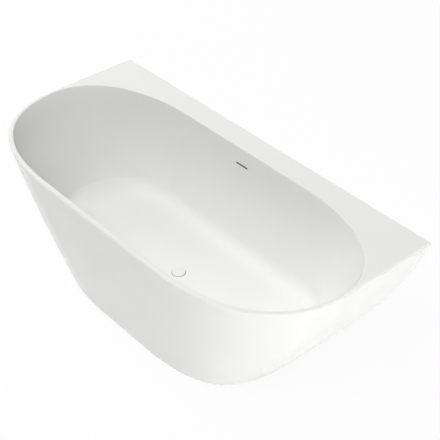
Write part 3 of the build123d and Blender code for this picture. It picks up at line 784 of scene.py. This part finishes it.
# %% Inlet
HOSE_RADIUS = 13.5          # over the pipe's rings
INLET_BORE, INLET_RADIUS, INLET_BEAD = 8.5, 11.0, 12.6
INLET_FROM, BEAD_FROM, BEAD_TO = 26.0, 33.0, 34.5       # from the bowl's axis
BARB_LENGTH, BARB_RISE = 6.0, 0.6
inlet_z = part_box("overflow_hose")[0].z / MM + HOSE_RADIUS
inlet_far = (bowl_high.y - bowl_y) / MM
inlet = turned([(INLET_BORE, INLET_FROM), (INLET_RADIUS, INLET_FROM), (INLET_RADIUS, BEAD_FROM),
                (INLET_BEAD, BEAD_FROM), (INLET_BEAD, BEAD_TO), (INLET_RADIUS, BEAD_TO),
                (INLET_RADIUS, inlet_far - BARB_LENGTH),
                (INLET_RADIUS + BARB_RISE, inlet_far - BARB_LENGTH),
                (INLET_RADIUS - BARB_RISE, inlet_far), (INLET_BORE, inlet_far)],
               bowl_x, bowl_y, steps=36, closed=True)
take(inlet)
bpy.ops.transform.rotate(value=math.radians(90), orient_axis="X", center_override=(bowl_x, bowl_y, 0))
bpy.ops.transform.translate(value=(0, 0, inlet_z * MM))
settle(inlet)
reach = [vertex.co.y for vertex in inlet.data.vertices]
print("inlet reaches from y", round(min(reach), 3), "to", round(max(reach), 3))
place_copies(joined(bowl, outlet_thread, inlet), ONE_PLACE, "waste_bowl", "grey_plastic", ["bath"],
             ["waste_body"])

# %% [markdown]
# ## Overflow pipe
# The overflow runs to the waste through a ribbed pipe that is pushed on a spigot at either
# end. A real one is blown in a mould with a ring every few millimetres, so that it bends
# without kinking. One ring is drawn as four short lines, an Array repeats it, the Screw
# modifier turns it into a straight pipe, and a Curve modifier lays the pipe along its route.

# %% Route
BEND_REACH = 0.28           # metres from the corner to its neighbours; the bend starts halfway
hose_low, hose_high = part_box("overflow_hose")
hose_x = (hose_low.x + hose_high.x) / 2
drop_y, run_z = hose_high.y - HOSE_RADIUS * MM, hose_low.z + HOSE_RADIUS * MM
route_points = [
    (hose_x, drop_y, hose_high.z),
    (hose_x, drop_y, run_z + BEND_REACH),
    (hose_x, drop_y, run_z),
    (hose_x, drop_y - BEND_REACH, run_z),
    (hose_x, hose_low.y, run_z)]
route_data = bpy.data.curves.new("overflow_route", "CURVE")
route_data.dimensions = "3D"
spline = route_data.splines.new("NURBS")
spline.points.add(len(route_points) - 1)
for point, place in zip(spline.points, route_points):
    point.co = (*place, 1)
spline.order_u = 3
spline.use_endpoint_u = True
spline.resolution_u = 40
route = bpy.data.objects.new("overflow_route", route_data)
bpy.context.scene.collection.objects.link(route)
route_length = spline.calc_length() / MM
print("route of", round(route_length), "mm")

# %% Rings, pipe and bend
USUAL_PITCH, RING_HEIGHT = 4.2, 1.3
VALLEY_END, CREST_START, CREST_END = 0.28, 0.42, 0.84   # shares of the pitch
rings = round(route_length / USUAL_PITCH)
pitch = route_length / rings
valley = HOSE_RADIUS - RING_HEIGHT
pipe = draw_section([(valley, 0), (valley, pitch * VALLEY_END), (HOSE_RADIUS, pitch * CREST_START),
                     (HOSE_RADIUS, pitch * CREST_END), (valley, pitch)])
repeat = pipe.modifiers.new("rings", "ARRAY")
repeat.count = rings
repeat.use_relative_offset = False
repeat.use_constant_offset = True
repeat.constant_offset_displace = (0, 0, pitch * MM)
repeat.use_merge_vertices = True
bpy.ops.object.modifier_apply(modifier="rings")
lathe = pipe.modifiers.new("lathe", "SCREW")
lathe.steps = lathe.render_steps = 28
lathe.use_merge_vertices = True
bpy.ops.object.modifier_apply(modifier="lathe")
tidy_mesh(pipe)
laying = pipe.modifiers.new("laying", "CURVE")
laying.object = route
laying.deform_axis = "POS_Z"
bpy.ops.object.modifier_apply(modifier="laying")
tidy_mesh(pipe)
bpy.data.objects.remove(route)
print(rings, "rings of", round(pitch, 2), "mm")
place_copies(pipe, ONE_PLACE, "ribbed_overflow_pipe", "hose_plastic", ["bath"], ["overflow_hose"])

# %% [markdown]
# ## Pipe nuts
# Each end of the pipe is held by a white moulded nut. Its eight sides give fingers a grip,
# and a mould leaves their ends softened, which the chamfered prism shows well.

# %% Nuts
nut_places = island_places("hose_nuts")
nut_top = max(nut_places, key=lambda place: place.z)
nut_side = min(nut_places, key=lambda place: place.z)
PIPE_NUT_SIDES, PIPE_NUT_ACROSS, PIPE_NUT_LENGTH, PIPE_NUT_GAP = 8, 34.0, 24.0, 0.15
pipe_nut_corners = PIPE_NUT_ACROSS / 2 / math.cos(math.pi / PIPE_NUT_SIDES)
middle = nut_top.z / MM
upright_nut = chamfered_prism(PIPE_NUT_SIDES, pipe_nut_corners, HOSE_RADIUS + PIPE_NUT_GAP,
                              middle - PIPE_NUT_LENGTH / 2, middle + PIPE_NUT_LENGTH / 2,
                              nut_top.x, nut_top.y)
lying_nut = moved_copy(upright_nut, nut_side - nut_top)
bpy.ops.transform.rotate(value=math.radians(90), orient_axis="X", center_override=nut_side)
for label, nut in (("upper_pipe_nut", upright_nut), ("lower_pipe_nut", lying_nut)):
    place_copies(nut, ONE_PLACE, label, "grey_plastic", ["bath"], ["hose_nuts"])

# %% [markdown]
# ## Painted shade in the overflow slot
# A thin black rubber collar lines the cut of the overflow slot. It is painted shade: it stands in for
# the shade inside the slot and makes the slot a dark line. Some baths have a collar there that keeps
# water out of the backing, but on this bath it is a guess. It is a cylinder whose halves are pulled
# apart into a round-ended prism; its end faces go, and Solidify gives the wall its thickness inwards.

# %% Where the slot is
ACRYLIC, BACKING, GASKET = 5.0, 3.0, 3.0    # what the slot goes through, from the basin's face
REAR_WALL_LEAN = 0.151      # how far the basin's rear wall comes inwards for its depth
slot_lean = math.atan(REAR_WALL_LEAN)
through_wall = Vector((0, math.cos(slot_lean), -math.sin(slot_lean)))
gasket_low, gasket_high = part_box("overflow_seal")
slot_place = (gasket_low + gasket_high) / 2 - through_wall * (ACRYLIC + BACKING + GASKET / 2) * MM
print("slot at", [round(value, 4) for value in slot_place])

# %% Collar of painted shade
SLOT_LENGTH, SLOT_HEIGHT, SLOT_FIT = 64.0, 6.0, 0.03
SHADE_COLLAR_DEPTH, SHADE_COLLAR_WALL, SHADE_COLLAR_SET_BACK = 5.4, 0.6, 2.6
END_FACE = 0.9              # a face whose normal runs this much along the axis closes an end
deselect()
bpy.ops.mesh.primitive_cylinder_add(vertices=32, radius=(SLOT_HEIGHT / 2 - SLOT_FIT) * MM,
                                    depth=SHADE_COLLAR_DEPTH * MM, location=(0, 0, SHADE_COLLAR_DEPTH / 2 * MM))
shade_collar = bpy.context.object
half_stretch = (SLOT_LENGTH - SLOT_HEIGHT) / 2 * MM
for side in (-1, 1):
    select_only(shade_collar, shade_collar.data.vertices, lambda vertex: side * vertex.co.x > TOUCHING * MM)
    bpy.ops.object.mode_set(mode="EDIT")
    bpy.ops.transform.translate(value=(side * half_stretch, 0, 0))
    bpy.ops.object.mode_set(mode="OBJECT")
bpy.context.tool_settings.mesh_select_mode = (False, False, True)
select_only(shade_collar, shade_collar.data.polygons, lambda face: abs(face.normal.z) > END_FACE)
bpy.ops.object.mode_set(mode="EDIT")
bpy.ops.mesh.delete(type="FACE")
bpy.ops.mesh.select_mode(type="VERT")
bpy.ops.object.mode_set(mode="OBJECT")
wall = shade_collar.modifiers.new("wall", "SOLIDIFY")
wall.thickness = SHADE_COLLAR_WALL * MM
wall.offset = -1
bpy.ops.object.modifier_apply(modifier="wall")
shade_collar.rotation_euler = (-(math.pi / 2 + slot_lean), 0, 0)
shade_collar.location = slot_place + through_wall * SHADE_COLLAR_SET_BACK * MM
settle(shade_collar)
shade_collar.name = shade_collar.data.name = "slot_painted_shade_collar"
# the collar's black rubber is painted shade, standing in for the shade inside the slot
shade_collar.data.materials.append(rubber)
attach(shade_collar, "bath")
print("collar of", len(shade_collar.data.polygons), "faces")

# %% [markdown]
# ## Camera
# The view is from the front right and above, with a long lens, as a catalogue shows such a
# bath. A camera looks along its own -Z, so its matrix is built from the three directions
# right, up and back, turned by the small roll.

# %% Camera
AZIMUTH = math.radians(50.0)
ELEVATION = math.radians(37.23)
ROLL = math.radians(-0.99)
CAMERA_PLACE = Vector((2.747, -2.130, 3.033))
FOCAL_LENGTH = 94.94

back = Vector((math.sin(AZIMUTH) * math.cos(ELEVATION), -math.cos(AZIMUTH) * math.cos(ELEVATION),
               math.sin(ELEVATION)))
level = Vector((math.cos(AZIMUTH), math.sin(AZIMUTH), 0.0))
upright = back.cross(level)
right = math.cos(ROLL) * level + math.sin(ROLL) * upright
up = math.cos(ROLL) * upright - math.sin(ROLL) * level
camera_data = bpy.data.cameras.new("camera")
camera_data.lens = FOCAL_LENGTH
camera = bpy.data.objects.new("camera", camera_data)
camera.matrix_world = Matrix.Translation(CAMERA_PLACE) @ Matrix((right, up, back)).transposed().to_4x4()
bpy.context.scene.collection.objects.link(camera)
bpy.context.scene.camera = camera
bpy.context.scene.view_settings.view_transform = "Standard"
print("camera with a", round(FOCAL_LENGTH), "mm lens at", [round(value, 2) for value in CAMERA_PLACE])

# %% [markdown]
# ## Studio floor
# A catalogue shows a white bath on a white sweep of paper, with hardly any shadow. A real
# floor as white as that would need so much light that the bath would burn out. So the camera
# and the reflections see the floor as plain white, mixed with a small share of its real
# shading, which keeps a soft shadow at the foot. Light that falls on the floor still bounces
# from its pale paint, and brightens the leaning skirt as real paper does.

# %% Floor
FLOOR_SIZE, SHADOW_SHARE = 14, 0.07
deselect()
bpy.ops.mesh.primitive_plane_add(size=FLOOR_SIZE, location=(0, 0, 0))
floor = bpy.context.object
floor.name = "floor"


def seen_ray(tree):
    """1 for a ray from the camera, from a reflection or through glass, and 0 for light."""
    path = add_node(tree, "ShaderNodeLightPath")
    total = path.outputs["Is Camera Ray"]
    for kind in ("Is Glossy Ray", "Is Transmission Ray"):
        either = add_node(tree, "ShaderNodeMath", operation="MAXIMUM")
        tree.links.new(total, either.inputs[0])
        tree.links.new(path.outputs[kind], either.inputs[1])
        total = either.outputs[0]
    return total


def seen_white(tree, shader, share):
    """Show white to the camera and in reflections, keeping a share of the real shading."""
    either = seen_ray(tree)
    shown = add_node(tree, "ShaderNodeMath", operation="MULTIPLY")
    tree.links.new(either, shown.inputs[0])
    shown.inputs[1].default_value = 1 - share
    white = add_node(tree, "ShaderNodeEmission", {"Color": (1, 1, 1, 1), "Strength": 1.0})
    mix = add_node(tree, "ShaderNodeMixShader", {"Fac": shown.outputs[0]})
    tree.links.new(shader, mix.inputs[1])
    tree.links.new(white.outputs[0], mix.inputs[2])
    return mix.outputs[0]


floor_material, floor_tree = new_material("studio_floor")
floor_paint = add_node(floor_tree, "ShaderNodeBsdfDiffuse", {"Color": linear("#F4F4F4")})
finish_material(floor_tree, seen_white(floor_tree, floor_paint.outputs[0], SHADOW_SHARE))
floor.data.materials.append(floor_material)
print("floor of", FLOOR_SIZE, "m, with a shadow of", SHADOW_SHARE)

# %% [markdown]
# ## Surroundings
# The room round the sweep is white to the camera and in the gloss of the bath, but it gives
# no light of its own. With light from every side the curves of a white bath would vanish.

# %% World
world = bpy.data.worlds.new("studio")
world.use_nodes = True
bpy.context.scene.world = world
world_tree = world.node_tree
world_tree.nodes.clear()
surround = add_node(world_tree, "ShaderNodeBackground", {
    "Color": (1, 1, 1, 1), "Strength": seen_ray(world_tree)})
add_node(world_tree, "ShaderNodeOutputWorld", {"Surface": surround.outputs[0]})

# %% [markdown]
# ## Soft lamps
# White gloss shows its form by slow changes of grey, so every lamp is a large softbox. The
# main light stands high in front and high behind, with fills over the middle, to the left and
# at the front right, which leaves the rear wall and the left backrest a shade darker than the
# floor of the bath. The skirt leans inwards towards its foot, so the high lamps hardly reach
# its lower part, and two low lamps light it at the right end. Only the lamp behind and a faint
# one to the left show in reflections; the others would stand as bright windows in the basin.

# %% Lamps
def softbox(name, place, width, height, power, target=(0, 0, 0.3), in_reflections=False):
    """A large lamp at a place in metres, facing a target. Gloss shows it only if told to."""
    data = bpy.data.lights.new(name, "AREA")
    data.shape = "RECTANGLE"
    data.size = width
    data.size_y = height
    data.energy = power
    lamp = bpy.data.objects.new(name, data)
    lamp.location = place
    lamp.rotation_euler = (Vector(target) - Vector(place)).to_track_quat("-Z", "Y").to_euler()
    lamp.visible_glossy = in_reflections
    bpy.context.scene.collection.objects.link(lamp)
    print(name, power, "W")


softbox("behind", (0, 8, 8), 8, 8, 288, in_reflections=True)
softbox("behind_small", (0, 8, 8), 5, 5, 78)
softbox("front_high", (1.5, -5, 9), 4, 4, 463)
softbox("front_left_high", (-4.5, -2.5, 9), 4, 4, 174)
softbox("overhead", (0, 0, 9), 1.5, 1.5, 43)
softbox("left_fill", (-8, 0.5, 5), 4, 4, 250)
softbox("left_high", (-5, 0, 8), 7, 7, 33, in_reflections=True)
softbox("front_right_fill", (7, -7, 3.4), 5, 5, 34)
softbox("low_right", (5, -0.5, 0.4), 3, 0.7, 86, target=(0.8, 0, 0.35))
softbox("low_front_right", (4.6, -2.2, 0.45), 3, 0.8, 31, target=(0.8, -0.1, 0.35))
